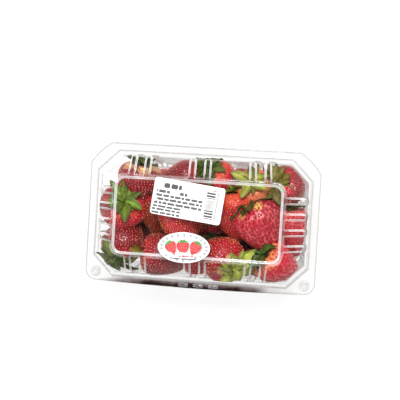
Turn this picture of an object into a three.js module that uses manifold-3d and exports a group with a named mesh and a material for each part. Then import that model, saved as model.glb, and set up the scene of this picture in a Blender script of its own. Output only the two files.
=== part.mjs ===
// Clear hinged punnet full of strawberries: a tray, its domed lid, the heap of berries and two stickers.
// Millimetres, +Z up. X runs along the length, the hinge lies along the back edge (+Y), and the origin is
// under the middle of the punnet, on the surface it stands on.
import * as THREE from "three";
import { mergeVertices } from "three/addons/utils/BufferGeometryUtils.js";
import Module from "manifold-3d";

const wasm = await Module();
wasm.setup();

// Driving sizes of the punnet
const LENGTH = 190;
const WIDTH = 116;
const TRAY_HEIGHT = 55;
const LID_HEIGHT = 29;
const SHEET = 0.5;
const GAP = 0.3;
const LID_BASE = TRAY_HEIGHT + GAP;
const LID_FLANGE_TOP = LID_BASE + SHEET;

// The flange: round front corners with a press stud each, cut back corners by the hinge, a bowed front edge
const FLANGE = { frontCut: 9, frontBulge: 1, backCut: 17, backBulge: 0.3, bow: 1.5 };

// The eight-sided opening inside the flange, which the walls of the tray and of the lid start from
const OPENING = { hx: 88.6, hy: 52.2, cut: 17 };
const CUT_SHRINK = 2 - Math.SQRT2;

// The top of the lid's rim: how far inside the opening it runs, and its corner radius
const RIM = { inset: 19.2, radius: 9.5 };

// Flutes in the walls: pairs on the long sides, an even row on the short sides. On the lid's long sides they
// lean a little, so that their feet stand off to one side
const FLUTE_ROOT = 2.5;
const FLUTE_CREST = 1.7;
const FLUTE_PAIR = 6.1;
const LONG_FLUTES = [-48.6, 0, 48.6].flatMap((x) => [x - FLUTE_PAIR, x + FLUTE_PAIR]);
const SHORT_FLUTES = [-18.9, -6.3, 6.3, 18.9];
const FLUTE_LEAN = -2.4;
const CORNER_STEPS = 3;

// Press studs and the vent arches in the middle of the front flange
const STUD = { x: 86.2, y: -49, foot: 4.6, top: 4.1, height: 2.6 };
const ARCH = { pitch: 12.5, width: 8, depth: 3.2, height: 1.5, y: -55.1 };

// Stickers on the lid's top panel
const LABEL_THICKNESS = 0.25;
const LABEL_GAP = 0.3;
const PAPER_REACH = 1.6;
const CARD_LABEL = { x: -8.2, y: 14.2, length: 57, width: 29.5, corner: 2, turn: -6.6 };
const OVAL_LABEL = { x: -9, y: -22.9, length: 42, width: 24.4, turn: 1 };

const clearPlastic = new THREE.MeshStandardMaterial({
  color: 0xeef4f6, roughness: 0.08, metalness: 0, transparent: true, opacity: 0.3,
});
const berryRed = new THREE.MeshStandardMaterial({ color: 0xa81f2a, roughness: 0.35, metalness: 0 });
const labelPaper = new THREE.MeshStandardMaterial({ color: 0xf6f6f4, roughness: 0.55, metalness: 0 });

const mix = (a, b, t) => a + (b - a) * t;

// Points between a corner's two ends, from a straight cut (bulge 0) to a quarter circle (bulge 1)
function cornerPoints(cx, cy, cut, bulge, startAngle) {
  const points = [];
  for (let i = 1; i < CORNER_STEPS; i++) {
    const t = i / CORNER_STEPS;
    const angle = startAngle + (t * Math.PI) / 2;
    const a = [Math.cos(startAngle), Math.sin(startAngle)];
    const b = [-Math.sin(startAngle), Math.cos(startAngle)];
    const x = mix(mix(a[0], b[0], t), Math.cos(angle), bulge);
    const y = mix(mix(a[1], b[1], t), Math.sin(angle), bulge);
    points.push([cx + cut * x, cy + cut * y]);
  }
  return points;
}

// Stations along a straight side: its two ends and four for each flute, with how far each stands on the flute
function sideStations(from, to, centres) {
  const stations = [[from, 0]];
  const direction = Math.sign(to - from);
  for (const centre of [...centres].sort((a, b) => (a - b) * direction)) {
    for (const [offset, lift] of [[-FLUTE_ROOT, 0], [-FLUTE_CREST, 1], [FLUTE_CREST, 1], [FLUTE_ROOT, 0]]) {
      stations.push([centre + offset * direction, lift]);
    }
  }
  stations.push([to, 0]);
  return stations;
}

// One closed ring of the punnet at height z, anticlockwise from above, with the same stations at every size
function ring({ hx, front, back, frontCut, backCut, frontBulge, backBulge, bow = 0, rib = 0, lean = 0, z }) {
  const points = [];
  const longFlutes = LONG_FLUTES.map((x) => x + lean);
  const frontEnd = hx - frontCut;
  const backEnd = hx - backCut;
  for (const [x, lift] of sideStations(-frontEnd, frontEnd, longFlutes)) {
    points.push([x, -(front + rib * lift + bow * (1 - (x / frontEnd) ** 2))]);
  }
  points.push(...cornerPoints(frontEnd, -(front - frontCut), frontCut, frontBulge, -Math.PI / 2));
  for (const [y, lift] of sideStations(-(front - frontCut), back - backCut, SHORT_FLUTES)) {
    points.push([hx + rib * lift, y]);
  }
  points.push(...cornerPoints(backEnd, back - backCut, backCut, backBulge, 0));
  for (const [x, lift] of sideStations(backEnd, -backEnd, longFlutes)) points.push([x, back + rib * lift]);
  points.push(...cornerPoints(-backEnd, back - backCut, backCut, backBulge, Math.PI / 2));
  for (const [y, lift] of sideStations(back - backCut, -(front - frontCut), SHORT_FLUTES)) {
    points.push([-(hx + rib * lift), y]);
  }
  points.push(...cornerPoints(-frontEnd, -(front - frontCut), frontCut, frontBulge, Math.PI));
  return points.map(([x, y]) => [x, y, z]);
}

// A ring set in from the opening, its corners turning from straight cuts into rounds as roundness goes to 1
function insetRing({ inset, z, rib = 0, roundness = 0, lean = 0 }) {
  const cut = mix(OPENING.cut - CUT_SHRINK * inset, RIM.radius + RIM.inset - inset, roundness);
  const half = OPENING.hy - inset;
  return ring({
    hx: OPENING.hx - inset, front: half, back: half, frontCut: cut, backCut: cut,
    frontBulge: roundness, backBulge: roundness, rib, lean, z,
  });
}

function flangeRing(z) {
  return ring({
    hx: LENGTH / 2, front: WIDTH / 2 - FLANGE.bow, back: WIDTH / 2, z, ...FLANGE,
  });
}

// The same profile moved square to itself by distance, towards the side that lies below a face going inwards
function offsetProfile(profile, distance) {
  return profile.map((point, i) => {
    const before = profile[Math.max(i - 1, 0)];
    const after = profile[Math.min(i + 1, profile.length - 1)];
    const normals = [[before, point], [point, after]]
      .map(([a, b]) => [b.inset - a.inset, b.z - a.z])
      .filter(([du, dz]) => Math.hypot(du, dz) > 0)
      .map(([du, dz]) => [dz / Math.hypot(du, dz), -du / Math.hypot(du, dz)]);
    const sum = normals.reduce(([u, v], [p, q]) => [u + p, v + q], [0, 0]);
    const length = Math.hypot(...sum);
    const cosine = (sum[0] * normals[0][0] + sum[1] * normals[0][1]) / length;
    const reach = distance / Math.max(cosine, 0.5);
    const [inward, up] = [(sum[0] / length) * reach, (sum[1] / length) * reach];
    return { ...point, inset: point.inset + inward, z: point.z + up };
  });
}

// A closed solid skinned over rings, capped by a fan at both ends
function solidFromRings(rings) {
  const count = rings[0].length;
  const positions = rings.flat(2);
  const index = [];
  for (let r = 0; r + 1 < rings.length; r++) {
    for (let i = 0; i < count; i++) {
      const j = (i + 1) % count;
      const [a, b, c, d] = [r * count + i, r * count + j, (r + 1) * count + j, (r + 1) * count + i];
      index.push(a, b, c, a, c, d);
    }
  }
  const centre = (one) => [0, 1, 2].map((k) => one.reduce((sum, p) => sum + p[k], 0) / count);
  const first = rings.length * count;
  const last = first + 1;
  positions.push(...centre(rings[0]), ...centre(rings[rings.length - 1]));
  const lastStart = (rings.length - 1) * count;
  for (let i = 0; i < count; i++) {
    const j = (i + 1) % count;
    index.push(first, j, i, last, lastStart + i, lastStart + j);
  }
  const geometry = new THREE.BufferGeometry();
  geometry.setAttribute("position", new THREE.Float32BufferAttribute(positions, 3));
  geometry.setIndex(index);
  return geometry;
}

// Vertices closer than this are one
const WELD = 1e-3;

// Geometry to solid and back, for cutting and joining
function toSolid(geometry) {
  const bare = geometry.clone();
  bare.deleteAttribute("normal");
  bare.deleteAttribute("uv");
  const merged = mergeVertices(bare, WELD);
  return new wasm.Manifold(
    new wasm.Mesh({
      numProp: 3,
      vertProperties: new Float32Array(merged.attributes.position.array),
      triVerts: new Uint32Array(merged.index.array),
    }),
  );
}

function toGeometry(solid) {
  const mesh = solid.getMesh();
  const geometry = new THREE.BufferGeometry();
  geometry.setAttribute("position", new THREE.BufferAttribute(new Float32Array(mesh.vertProperties), 3));
  geometry.setIndex(new THREE.BufferAttribute(new Uint32Array(mesh.triVerts), 1));
  geometry.computeVertexNormals();
  return geometry;
}

function boxAt(width, depth, height, x, y, bottom) {
  return toSolid(new THREE.BoxGeometry(width, depth, height).translate(x, y, bottom + height / 2));
}

// A round tapered boss or hole, standing on z = bottom
function stud(x, foot, top, height, bottom) {
  const profile = [[0, 0], [foot, 0], [top, height], [0, height]].map(([r, z]) => new THREE.Vector2(r, z));
  const boss = new THREE.LatheGeometry(profile, 20).rotateX(Math.PI / 2);
  return toSolid(boss.translate(x, STUD.y, bottom));
}

// Profiles run from the opening's edge inwards: inset from the opening, height, flute depth, corner roundness
const RIM_TOP = LID_FLANGE_TOP + LID_HEIGHT - SHEET;
const PANEL_DROP = 1;
const LID_PROFILE = [
  { inset: 0, z: LID_FLANGE_TOP },
  { inset: 0.8, z: LID_FLANGE_TOP + 3.6 },
  { inset: 4.4, z: LID_FLANGE_TOP + 4.8 },
  { inset: 5.6, z: LID_FLANGE_TOP + 8, rib: 1.6, roundness: 0.15, lean: FLUTE_LEAN },
  { inset: 17.2, z: RIM_TOP - 1.9, rib: 1.4, roundness: 0.9 },
  { inset: RIM.inset, z: RIM_TOP, rib: 0.4, roundness: 1 },
  { inset: 21.4, z: RIM_TOP, roundness: 1 },
  { inset: 22.4, z: RIM_TOP - PANEL_DROP, roundness: 1 },
];
const TRAY_PROFILE = [
  { inset: 0.6, z: TRAY_HEIGHT },
  { inset: 3.6, z: TRAY_HEIGHT - 4 },
  { inset: 4.6, z: TRAY_HEIGHT - 8, rib: 1.5 },
  { inset: 10, z: 6, rib: 1.3 },
  { inset: 12, z: SHEET },
  { inset: 17, z: SHEET },
  { inset: 18.4, z: SHEET + 2.2 },
];
const FLOOR = TRAY_PROFILE.at(-1).z;

function formedSheet(profile, flangeTop) {
  const last = profile.at(-1);
  const under = offsetProfile([...profile, { ...last, inset: last.inset + 1 }], SHEET).slice(0, -1);
  under[0] = { ...under[0], z: flangeTop - SHEET };
  const rings = [
    ...profile.map(insetRing).reverse(),
    flangeRing(flangeTop),
    flangeRing(flangeTop - SHEET),
    ...under.map(insetRing),
  ].reverse();
  return toSolid(solidFromRings(rings));
}

function makeTray() {
  let tray = formedSheet(TRAY_PROFILE, TRAY_HEIGHT);
  const wall = SHEET + GAP;
  for (const side of [-1, 1]) {
    const x = side * STUD.x;
    const height = STUD.height - wall + GAP;
    tray = tray.add(stud(x, STUD.foot - wall, STUD.top - wall, height, TRAY_HEIGHT - SHEET / 2));
    const inner = wall + SHEET;
    tray = tray.subtract(stud(x, STUD.foot - inner, STUD.top - inner, STUD.height, TRAY_HEIGHT - inner));
  }
  return tray;
}

function makeLid() {
  let lid = formedSheet(LID_PROFILE, LID_FLANGE_TOP);
  for (const side of [-1, 1]) {
    const x = side * STUD.x;
    lid = lid.add(stud(x, STUD.foot, STUD.top, STUD.height, LID_FLANGE_TOP - SHEET / 2));
    lid = lid.subtract(stud(x, STUD.foot - SHEET, STUD.top - SHEET, STUD.height, LID_BASE - SHEET / 2));
  }
  for (const i of [-1, 0, 1]) {
    const x = i * ARCH.pitch;
    const foot = LID_FLANGE_TOP - SHEET / 2;
    lid = lid.add(boxAt(ARCH.width, ARCH.depth, ARCH.height + SHEET / 2, x, ARCH.y, foot));
    const [width, depth] = [ARCH.width - 2 * SHEET, ARCH.depth - 2 * SHEET];
    lid = lid.subtract(boxAt(width, depth, 2 * ARCH.height, x, ARCH.y, LID_BASE - ARCH.height));
  }
  return lid;
}

// The berries. Each row: centre x, y, z, length, width, where the tip points (turn from +X, rise above level)
const TOP_BERRIES = [
  [-56, 21, 49, 44, 40, -100, -14],
  [-67, 3, 51, 38, 38, -118, -64],
  [-64, -20, 47, 42, 36, 75, -38],
  [-39, 0, 44, 42, 31, -86, -18],
  [-16, -6, 54, 46, 39, -84, -12],
  [-27, -32, 46, 45, 34, -6, -26],
  [14, -29, 50, 39, 35, 150, -36],
  [27, 3, 54, 43, 36, -82, -14],
  [52, -8, 51, 58, 42, -57, -22],
  [42, 23, 47, 40, 33, -80, -58],
  [68, 27, 46, 38, 34, -32, -58],
  [75, -6, 42, 38, 32, -85, -10],
  [65, -33, 46, 40, 35, -28, -40],
  [-23, 28, 48, 40, 33, -165, -12],
  [13, 29, 46, 40, 31, -60, -44],
  [44, -33, 38, 36, 27, -170, -38],
];
const LOW_BERRIES = [
  [-65, 22, 17.5, 38, 30, 200, 8],
  [-64, -20, 17.5, 38, 31, 150, -10],
  [-34, 26, 18, 36, 31, 20, 12],
  [-34, -22, 17.5, 38, 32, -60, 0],
  [-2, 22, 17.5, 38, 32, 170, 6],
  [-2, -20, 18.5, 38, 33, 10, -6],
  [30, 24, 17.5, 38, 32, -30, 10],
  [29, -19, 17.5, 38, 32, 100, 0],
  [62, 22, 18.5, 38, 32, 30, -8],
  [63, -19, 18.5, 39, 33, -20, 5],
  [-6, -36, 36, 33, 27, -75, -10],
  [4, 6, 40, 40, 32, 96, -14],
];
const TOP_SHAPE = { sides: 11, stops: [0.06, 0.22, 0.45, 0.7, 0.92] };
const LOW_SHAPE = { sides: 7, stops: [0.07, 0.3, 0.6, 0.88] };
const CALYX = { leaves: 6, reach: 15, valley: 3.4, halfWidth: 3.2, thickness: 0.9, proud: 0.7 };
const SLIVER = 0.1;

// How wide a strawberry is at t, from 0 at its shoulder to 1 at its tip, as a share of its half width
function berryRadius(t) {
  return Math.sin(Math.PI * t ** 0.62) ** 0.62 * (1.06 - 0.22 * t);
}

// Turns a shape whose tip points along +X so that the tip points as stated, then moves it into place
function placed(geometry, [x, y, z, , , turn, rise]) {
  geometry.rotateY(-THREE.MathUtils.degToRad(rise));
  geometry.rotateZ(THREE.MathUtils.degToRad(turn));
  return geometry.translate(x, y, z);
}

function berryBody(berry, { sides, stops }) {
  const [, , , length, width] = berry;
  const profile = [new THREE.Vector2(0, 0)];
  for (const t of stops) profile.push(new THREE.Vector2((berryRadius(t) * width) / 2, t * length));
  profile.push(new THREE.Vector2(0, length));
  const body = new THREE.LatheGeometry(profile, sides);
  body.translate(0, -length / 2, 0).rotateZ(-Math.PI / 2);
  return toSolid(placed(body, berry));
}

// The green calyx: a thin star of pointed leaves, each ridged along its middle, laid over the shoulder
function calyx(berry) {
  const [, , , length, width] = berry;
  const { leaves, halfWidth, thickness, proud } = CALYX;
  const scale = Math.min(width / 34, 1.05);
  const points = [[0, 0, 0.3]];
  for (let k = 0; k < leaves; k++) {
    const turn = (2 * Math.PI * k) / leaves;
    const half = Math.PI / leaves;
    const reach = CALYX.reach * (0.85 + 0.15 * ((k * 5) % 3));
    const middle = 0.5 * reach;
    const side = Math.atan(halfWidth / middle);
    const wide = Math.hypot(halfWidth, middle);
    const curl = k % 2 ? 1.6 : 0;
    points.push([CALYX.valley, turn - half, 0.2], [wide, turn - side, -0.4], [middle, turn, 0.6]);
    points.push([reach, turn, curl - 1.2], [wide, turn + side, -0.4]);
  }
  const outer = points.map(([r, turn, lift]) => [
    -length / 2 - (proud + lift) * scale,
    r * Math.cos(turn) * scale,
    r * Math.sin(turn) * scale,
  ]);
  const inner = outer.map(([x, y, z]) => [x + thickness, y, z]);
  const index = [];
  const face = (a, b, c) => index.push(a, b, c, a + outer.length, c + outer.length, b + outer.length);
  for (let k = 0; k < leaves; k++) {
    const [valley, left, ridge, tip, right] = [1, 2, 3, 4, 5].map((j) => 5 * k + j);
    const next = 5 * ((k + 1) % leaves) + 1;
    for (const [b, c] of [[valley, left], [left, tip], [tip, right], [right, next]]) {
      face(ridge, c, b);
      index.push(b, c, b + outer.length, c, c + outer.length, b + outer.length);
    }
    face(0, ridge, valley);
    face(0, next, ridge);
  }
  const geometry = new THREE.BufferGeometry();
  geometry.setAttribute("position", new THREE.Float32BufferAttribute([...outer, ...inner].flat(), 3));
  geometry.setIndex(index);
  return toSolid(placed(geometry, berry));
}

// The room inside the shut punnet, less a clearance, which no berry may leave
function cavity() {
  const clearance = GAP + SHEET;
  const room = [
    ...TRAY_PROFILE.slice(1, 5).reverse(),
    ...LID_PROFILE.slice(1, 6),
  ].map(({ inset, z, roundness }, i) =>
    insetRing({ inset: inset + clearance, z: i < 4 ? z : z - SHEET, roundness }),
  );
  const floor = room[0].map(([x, y]) => [x, y, FLOOR + GAP]);
  const ceiling = room.at(-1).map(([x, y]) => [x, y, RIM_TOP - PANEL_DROP - SHEET - GAP]);
  return toSolid(solidFromRings([floor, ...room.slice(1, -1), ceiling]));
}

// The largest closed skin of a solid, so that pockets shut in between the berries are filled
function outerSkin(solid) {
  const welded = toSolid(toGeometry(solid));
  return welded.decompose().reduce((best, one) => (one.volume() > best.volume() ? one : best));
}

// The heap: a core that joins the berries, under and between them, and the berries with their leaves
function makeBerries() {
  const pieces = [boxAt(136, 62, 36, 0, 0, FLOOR + 4)];
  for (const berry of LOW_BERRIES) pieces.push(berryBody(berry, LOW_SHAPE));
  for (const berry of TOP_BERRIES) pieces.push(berryBody(berry, TOP_SHAPE), calyx(berry));
  return outerSkin(wasm.Manifold.union(pieces).intersect(cavity()).simplify(SLIVER));
}

// Height of the lid's top surface at a point near the panel, from the profile's distance inside the opening
function lidHeight(x, y) {
  const inset = Math.min(OPENING.hx - Math.abs(x), OPENING.hy - Math.abs(y));
  const after = LID_PROFILE.findIndex((p) => p.inset >= inset);
  if (after < 0) return LID_PROFILE.at(-1).z;
  const [a, b] = [LID_PROFILE[after - 1], LID_PROFILE[after]];
  return mix(a.z, b.z, (inset - a.inset) / (b.inset - a.inset));
}

// Paper is too stiff to follow the rim bead closely, so it lies on the highest plastic near each point
function paperHeight(x, y) {
  return Math.max(...[-PAPER_REACH, 0, PAPER_REACH].map((step) => lidHeight(x, y + step))) + LABEL_GAP;
}

// A sticker over the lid: rings of its outline shrunk to the middle, each point laid just above the plastic
const LABEL_POINTS = 40;
function sticker(outlineAt, { x, y, turn }, shares) {
  const angle = THREE.MathUtils.degToRad(turn);
  const lay = (share, lift) =>
    Array.from({ length: LABEL_POINTS }, (_, i) => {
      const [u, v] = outlineAt((2 * Math.PI * i) / LABEL_POINTS).map((w) => w * share);
      const px = x + u * Math.cos(angle) - v * Math.sin(angle);
      const py = y + u * Math.sin(angle) + v * Math.cos(angle);
      return [px, py, paperHeight(px, py) + lift];
    });
  const under = shares.map((share) => lay(share, 0));
  const over = shares.map((share) => lay(share, LABEL_THICKNESS));
  return toSolid(solidFromRings([...under, ...over.reverse()]));
}

// The outline of the card: a rectangle whose corners are a little round
function cardOutline({ length, width, corner }) {
  return (angle) => {
    const [a, b] = [length / 2, width / 2];
    const power = a / corner;
    const [c, s] = [Math.cos(angle), Math.sin(angle)];
    const reach = (Math.abs(c / a) ** power + Math.abs(s / b) ** power) ** (-1 / power);
    return [c * reach, s * reach];
  };
}

const ovalOutline = ({ length, width }) => (angle) => [
  (Math.cos(angle) * length) / 2,
  (Math.sin(angle) * width) / 2,
];

const punnet = new THREE.Group();
function addPiece(name, solid, material) {
  const mesh = new THREE.Mesh(toGeometry(solid), material);
  mesh.name = name;
  punnet.add(mesh);
}

addPiece("tray", makeTray(), clearPlastic);
addPiece("lid", makeLid(), clearPlastic);
addPiece("strawberries", makeBerries(), berryRed);
addPiece("label_card", sticker(cardOutline(CARD_LABEL), CARD_LABEL, [0.03, 1]), labelPaper);
addPiece("label_oval", sticker(ovalOutline(OVAL_LABEL), OVAL_LABEL, [0.03, 0.62, 0.82, 1]), labelPaper);

export default punnet;
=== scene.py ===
"""The looks of a clear hinged punnet full of strawberries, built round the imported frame.

Sizes are in millimetres until a mesh is made, and in metres from there on. X runs along the punnet, the
hinge is at the back (+Y) and Z is up, as in the frame.
"""
from math import cos, pi, radians, sin

import bmesh
import bpy
import numpy as np
from mathutils import Matrix, Vector


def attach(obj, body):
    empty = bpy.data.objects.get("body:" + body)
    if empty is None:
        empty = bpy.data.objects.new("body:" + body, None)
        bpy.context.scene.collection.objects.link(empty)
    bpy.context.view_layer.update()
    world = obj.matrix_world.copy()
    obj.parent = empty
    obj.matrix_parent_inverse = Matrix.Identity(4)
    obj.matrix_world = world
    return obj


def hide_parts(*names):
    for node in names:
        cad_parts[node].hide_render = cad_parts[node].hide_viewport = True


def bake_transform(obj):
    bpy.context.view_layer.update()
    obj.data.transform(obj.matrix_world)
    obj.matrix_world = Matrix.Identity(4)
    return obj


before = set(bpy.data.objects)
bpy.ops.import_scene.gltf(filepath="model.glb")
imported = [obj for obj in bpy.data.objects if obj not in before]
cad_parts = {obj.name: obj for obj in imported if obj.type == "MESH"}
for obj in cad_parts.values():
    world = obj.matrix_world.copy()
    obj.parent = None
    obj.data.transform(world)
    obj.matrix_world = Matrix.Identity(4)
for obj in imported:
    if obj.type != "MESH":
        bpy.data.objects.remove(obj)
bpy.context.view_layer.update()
MM = 0.001

# The punnet's driving sizes, as in the solids
LENGTH, WIDTH = 190.0, 116.0
TRAY_HEIGHT, LID_HEIGHT, SHEET, GAP = 55.0, 29.0, 0.5, 0.3
LID_BASE = TRAY_HEIGHT + GAP
LID_TOP = LID_BASE + SHEET
OPENING_X, OPENING_Y, OPENING_CUT = 88.6, 52.2, 17.0
RIM_INSET, RIM_RADIUS, RIM_TOP, PANEL_DROP = 19.2, 9.5, LID_BASE + LID_HEIGHT, 1.0
PANEL_TOP = RIM_TOP - PANEL_DROP
FLOOR = SHEET + 2.2
LONG_FLUTES = [x + side * 6.1 for x in (-48.6, 0.0, 48.6) for side in (-1, 1)]
SHORT_FLUTES = [-18.9, -6.3, 6.3, 18.9]
# How far the foot of the lid's long-side flutes leans
FLUTE_LEAN = -2.4
# Past these the sheet has corners only
FLUTES_X, FLUTES_Y = 59.0, 23.0


def mix(a, b, t):
    return a + (b - a) * t


def angles(count):
    """Angles spread evenly round a circle."""
    return [2 * pi * k / count for k in range(count)]


def tube_faces(rows, around, first=0, flip=False):
    """Quads between closed rings of points, numbered ring by ring from first."""
    faces = []
    for r in range(rows - 1):
        a, b = first + r * around, first + (r + 1) * around
        for i in range(around):
            j = (i + 1) % around
            faces.append([a + i, b + i, b + j, a + j] if flip else [a + i, a + j, b + j, b + i])
    return faces


def cap_faces(around, first, low, last, high):
    """Triangles that close a tube, from first to the ring at low and from last to the ring at high."""
    faces = []
    for i in range(around):
        j = (i + 1) % around
        faces.append([first, low + j, low + i])
        faces.append([last, high + i, high + j])
    return faces


def strip_faces(rows, columns):
    """Quads between open rows of points, numbered row by row."""
    faces = []
    for r in range(rows - 1):
        for i in range(columns - 1):
            a = r * columns + i
            faces.append([a, a + 1, a + columns + 1, a + columns])
    return faces


def make_object(name, points, faces, material, smooth=True, tint=None):
    """A mesh object from points in millimetres, with an optional colour for each vertex."""
    mesh = bpy.data.meshes.new(name)
    mesh.from_pydata((np.asarray(points, float) * MM).tolist(), [], faces)
    mesh.polygons.foreach_set("use_smooth", [smooth] * len(mesh.polygons))
    if tint is not None:
        colours = np.ones((len(points), 4), np.float32)
        colours[:, :3] = tint
        layer = mesh.attributes.new("tint", "FLOAT_COLOR", "POINT")
        layer.data.foreach_set("color", colours.ravel())
    mesh.materials.append(material)
    made = bpy.data.objects.new(name, mesh)
    bpy.context.scene.collection.objects.link(made)
    return made


def joined(parts):
    """One list of points, faces and tints from several, with the face numbers moved along."""
    points, faces, tints, start = [], [], [], 0
    for part_points, part_faces, part_tint in parts:
        points.append(np.asarray(part_points, float))
        tints.append(np.broadcast_to(np.asarray(part_tint, float), (len(part_points), 3)))
        faces += [[start + i for i in face] for face in part_faces]
        start += len(part_points)
    return np.concatenate(points), faces, np.concatenate(tints)


def joined_piece(name, parts, material, painted=False):
    points, faces, tint = joined(parts)
    return make_object(name, points, faces, material, tint=tint if painted else None)


def srgb(red, green, blue):
    """A linear colour from 0 to 255 screen values."""
    return tuple(((c / 255 + 0.055) / 1.055) ** 2.4 if c > 10 else c / 3294 for c in (red, green, blue))


# The photograph's camera, almost straight above the punnet, with its focal length in pixels
FOCAL, FRAME_PIXELS, SENSOR = 1100.0, 400.0, 36.0
TILT_X, TILT_Y, TURN = radians(1.47), radians(-8.36), radians(-3.38)
LOOK = Vector((0, 0, 55.0))
SHIFT = Vector((1.62, -15.0, -898.3))


def make_camera():
    data = bpy.data.cameras.new("camera")
    data.sensor_width = SENSOR
    data.lens = FOCAL / FRAME_PIXELS * SENSOR
    data.clip_start, data.clip_end = 0.01, 20
    camera = bpy.data.objects.new("camera", data)
    bpy.context.scene.collection.objects.link(camera)
    world_to_camera = (
        Matrix.Rotation(TURN, 3, "Z") @ Matrix.Rotation(TILT_X, 3, "X") @ Matrix.Rotation(TILT_Y, 3, "Y")
    )
    camera_to_world = world_to_camera.transposed()
    eye = LOOK - camera_to_world @ SHIFT
    camera.matrix_world = Matrix.Translation(eye * MM) @ camera_to_world.to_4x4()
    bpy.context.scene.camera = camera


# Materials
class Nodes:
    """A material's node tree, with short calls to add and link nodes."""

    def __init__(self, name):
        self.material = bpy.data.materials.new(name)
        self.material.use_nodes = True
        self.tree = self.material.node_tree
        self.tree.nodes.clear()
        self.output = self.add("ShaderNodeOutputMaterial")

    def add(self, kind, **settings):
        node = self.tree.nodes.new(kind)
        for key, value in settings.items():
            if isinstance(value, dict):
                for socket, content in value.items():
                    node.inputs[socket].default_value = content
            else:
                setattr(node, key, value)
        return node

    def link(self, source, target):
        self.tree.links.new(source, target)

    def noise(self, scale, detail=3.0):
        place = self.add("ShaderNodeTexCoord")
        noise = self.add("ShaderNodeTexNoise", values={"Scale": scale, "Detail": detail})
        self.link(place.outputs["Object"], noise.inputs["Vector"])
        return noise.outputs["Fac"]

    def ramp(self, factor, stops):
        """Colours along a factor: stops are (position, (r, g, b))."""
        ramp = self.add("ShaderNodeValToRGB")
        elements = ramp.color_ramp.elements
        while len(elements) < len(stops):
            elements.new(0.5)
        for element, (position, colour) in zip(elements, stops):
            element.position = position
            element.color = (*colour, 1)
        self.link(factor, ramp.inputs["Fac"])
        return ramp.outputs["Color"]

    def mixed(self, factor, a, b, blend="MIX"):
        """A colour mix of a and b, each a socket or a colour."""
        node = self.add("ShaderNodeMix", data_type="RGBA", blend_type=blend)
        for socket, value in ((0, factor), (6, a), (7, b)):
            if isinstance(value, bpy.types.NodeSocket):
                self.link(value, node.inputs[socket])
            else:
                node.inputs[socket].default_value = value if socket == 0 else (*value, 1)
        return node.outputs[2]

    def ranged(self, factor, low, high):
        node = self.add("ShaderNodeMapRange", values={"To Min": low, "To Max": high})
        self.link(factor, node.inputs["Value"])
        return node.outputs["Result"]

    def bump(self, height, strength, distance):
        node = self.add("ShaderNodeBump", values={"Strength": strength, "Distance": distance})
        self.link(height, node.inputs["Height"])
        return node.outputs["Normal"]

    def math(self, operation, *terms):
        """What one operation makes of sockets and numbers."""
        node = self.add("ShaderNodeMath", operation=operation)
        for socket, term in zip(node.inputs, terms):
            if isinstance(term, bpy.types.NodeSocket):
                self.link(term, socket)
            else:
                socket.default_value = term
        return node.outputs["Value"]

    def tint(self):
        return self.add("ShaderNodeAttribute", attribute_name="tint").outputs["Color"]

    def marked(self, name):
        """A number that the mesh carries for each vertex."""
        return self.add("ShaderNodeAttribute", attribute_name=name).outputs["Fac"]

    def blended(self, share, a, b):
        """Two shaders mixed: a where share is 0, b where it is 1."""
        node = self.add("ShaderNodeMixShader")
        for socket, source in zip(node.inputs, (share, a, b)):
            self.link(source, socket)
        return node.outputs["Shader"]

    def principled(self, **values):
        sockets = {key.replace("_", " "): value for key, value in values.items()}
        shader = self.add("ShaderNodeBsdfPrincipled", values=sockets)
        self.link(shader.outputs["BSDF"], self.output.inputs["Surface"])
        return shader.inputs


def berry_material():
    """Moist skin: the painted colour with a fine mottle, and a gloss that varies."""
    nodes = Nodes("strawberry_skin")
    skin = nodes.principled(IOR=1.33, Coat_Weight=0.18, Coat_Roughness=0.08)
    mottle = nodes.ramp(nodes.noise(900, 4), [(0.3, (0.64, 0.55, 0.57)), (0.7, (1.06, 1.06, 1.06))])
    nodes.link(nodes.mixed(1.0, nodes.tint(), mottle, "MULTIPLY"), skin["Base Color"])
    nodes.link(nodes.ranged(nodes.noise(350), 0.2, 0.4), skin["Roughness"])
    nodes.link(nodes.bump(nodes.noise(1300, 4), 0.5, 0.0003), skin["Normal"])
    return nodes.material


def seed_material():
    nodes = Nodes("strawberry_seed")
    seed = nodes.principled(Roughness=0.4)
    shade = nodes.ramp(nodes.noise(700), [(0.35, (0.75, 0.7, 0.6)), (0.65, (1.0, 1.0, 1.0))])
    nodes.link(nodes.mixed(1.0, nodes.tint(), shade, "MULTIPLY"), seed["Base Color"])
    return nodes.material


def leaf_material():
    """Hairy, slightly waxy leaf, blotched lighter and darker."""
    nodes = Nodes("strawberry_leaf")
    leaf = nodes.principled(IOR=1.38)
    blotch = nodes.ramp(nodes.noise(260, 4), [(0.3, (0.6, 0.66, 0.5)), (0.7, (1.1, 1.08, 1.0))])
    nodes.link(nodes.mixed(1.0, nodes.tint(), blotch, "MULTIPLY"), leaf["Base Color"])
    nodes.link(nodes.ranged(nodes.noise(500), 0.42, 0.68), leaf["Roughness"])
    nodes.link(nodes.bump(nodes.noise(700, 4), 0.4, 0.0004), leaf["Normal"])
    return nodes.material


# What the sheet lets through face on and edge on; painted shade where it bends and at its cut edge,
# for its refraction there; and painted shadow and painted reflection of the fruit at the tray's front lip
CLEAR, CLEAR_EDGE = (0.99, 0.992, 0.99), (0.5, 0.49, 0.48)
BEND_PAINTED_SHADE, CUT_EDGE_PAINTED_SHADE, LIP_PAINTED_SHADE = (0.76, 0.75, 0.745), (0.78, 0.765, 0.755), (0.14, 0.06, 0.055)


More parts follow.
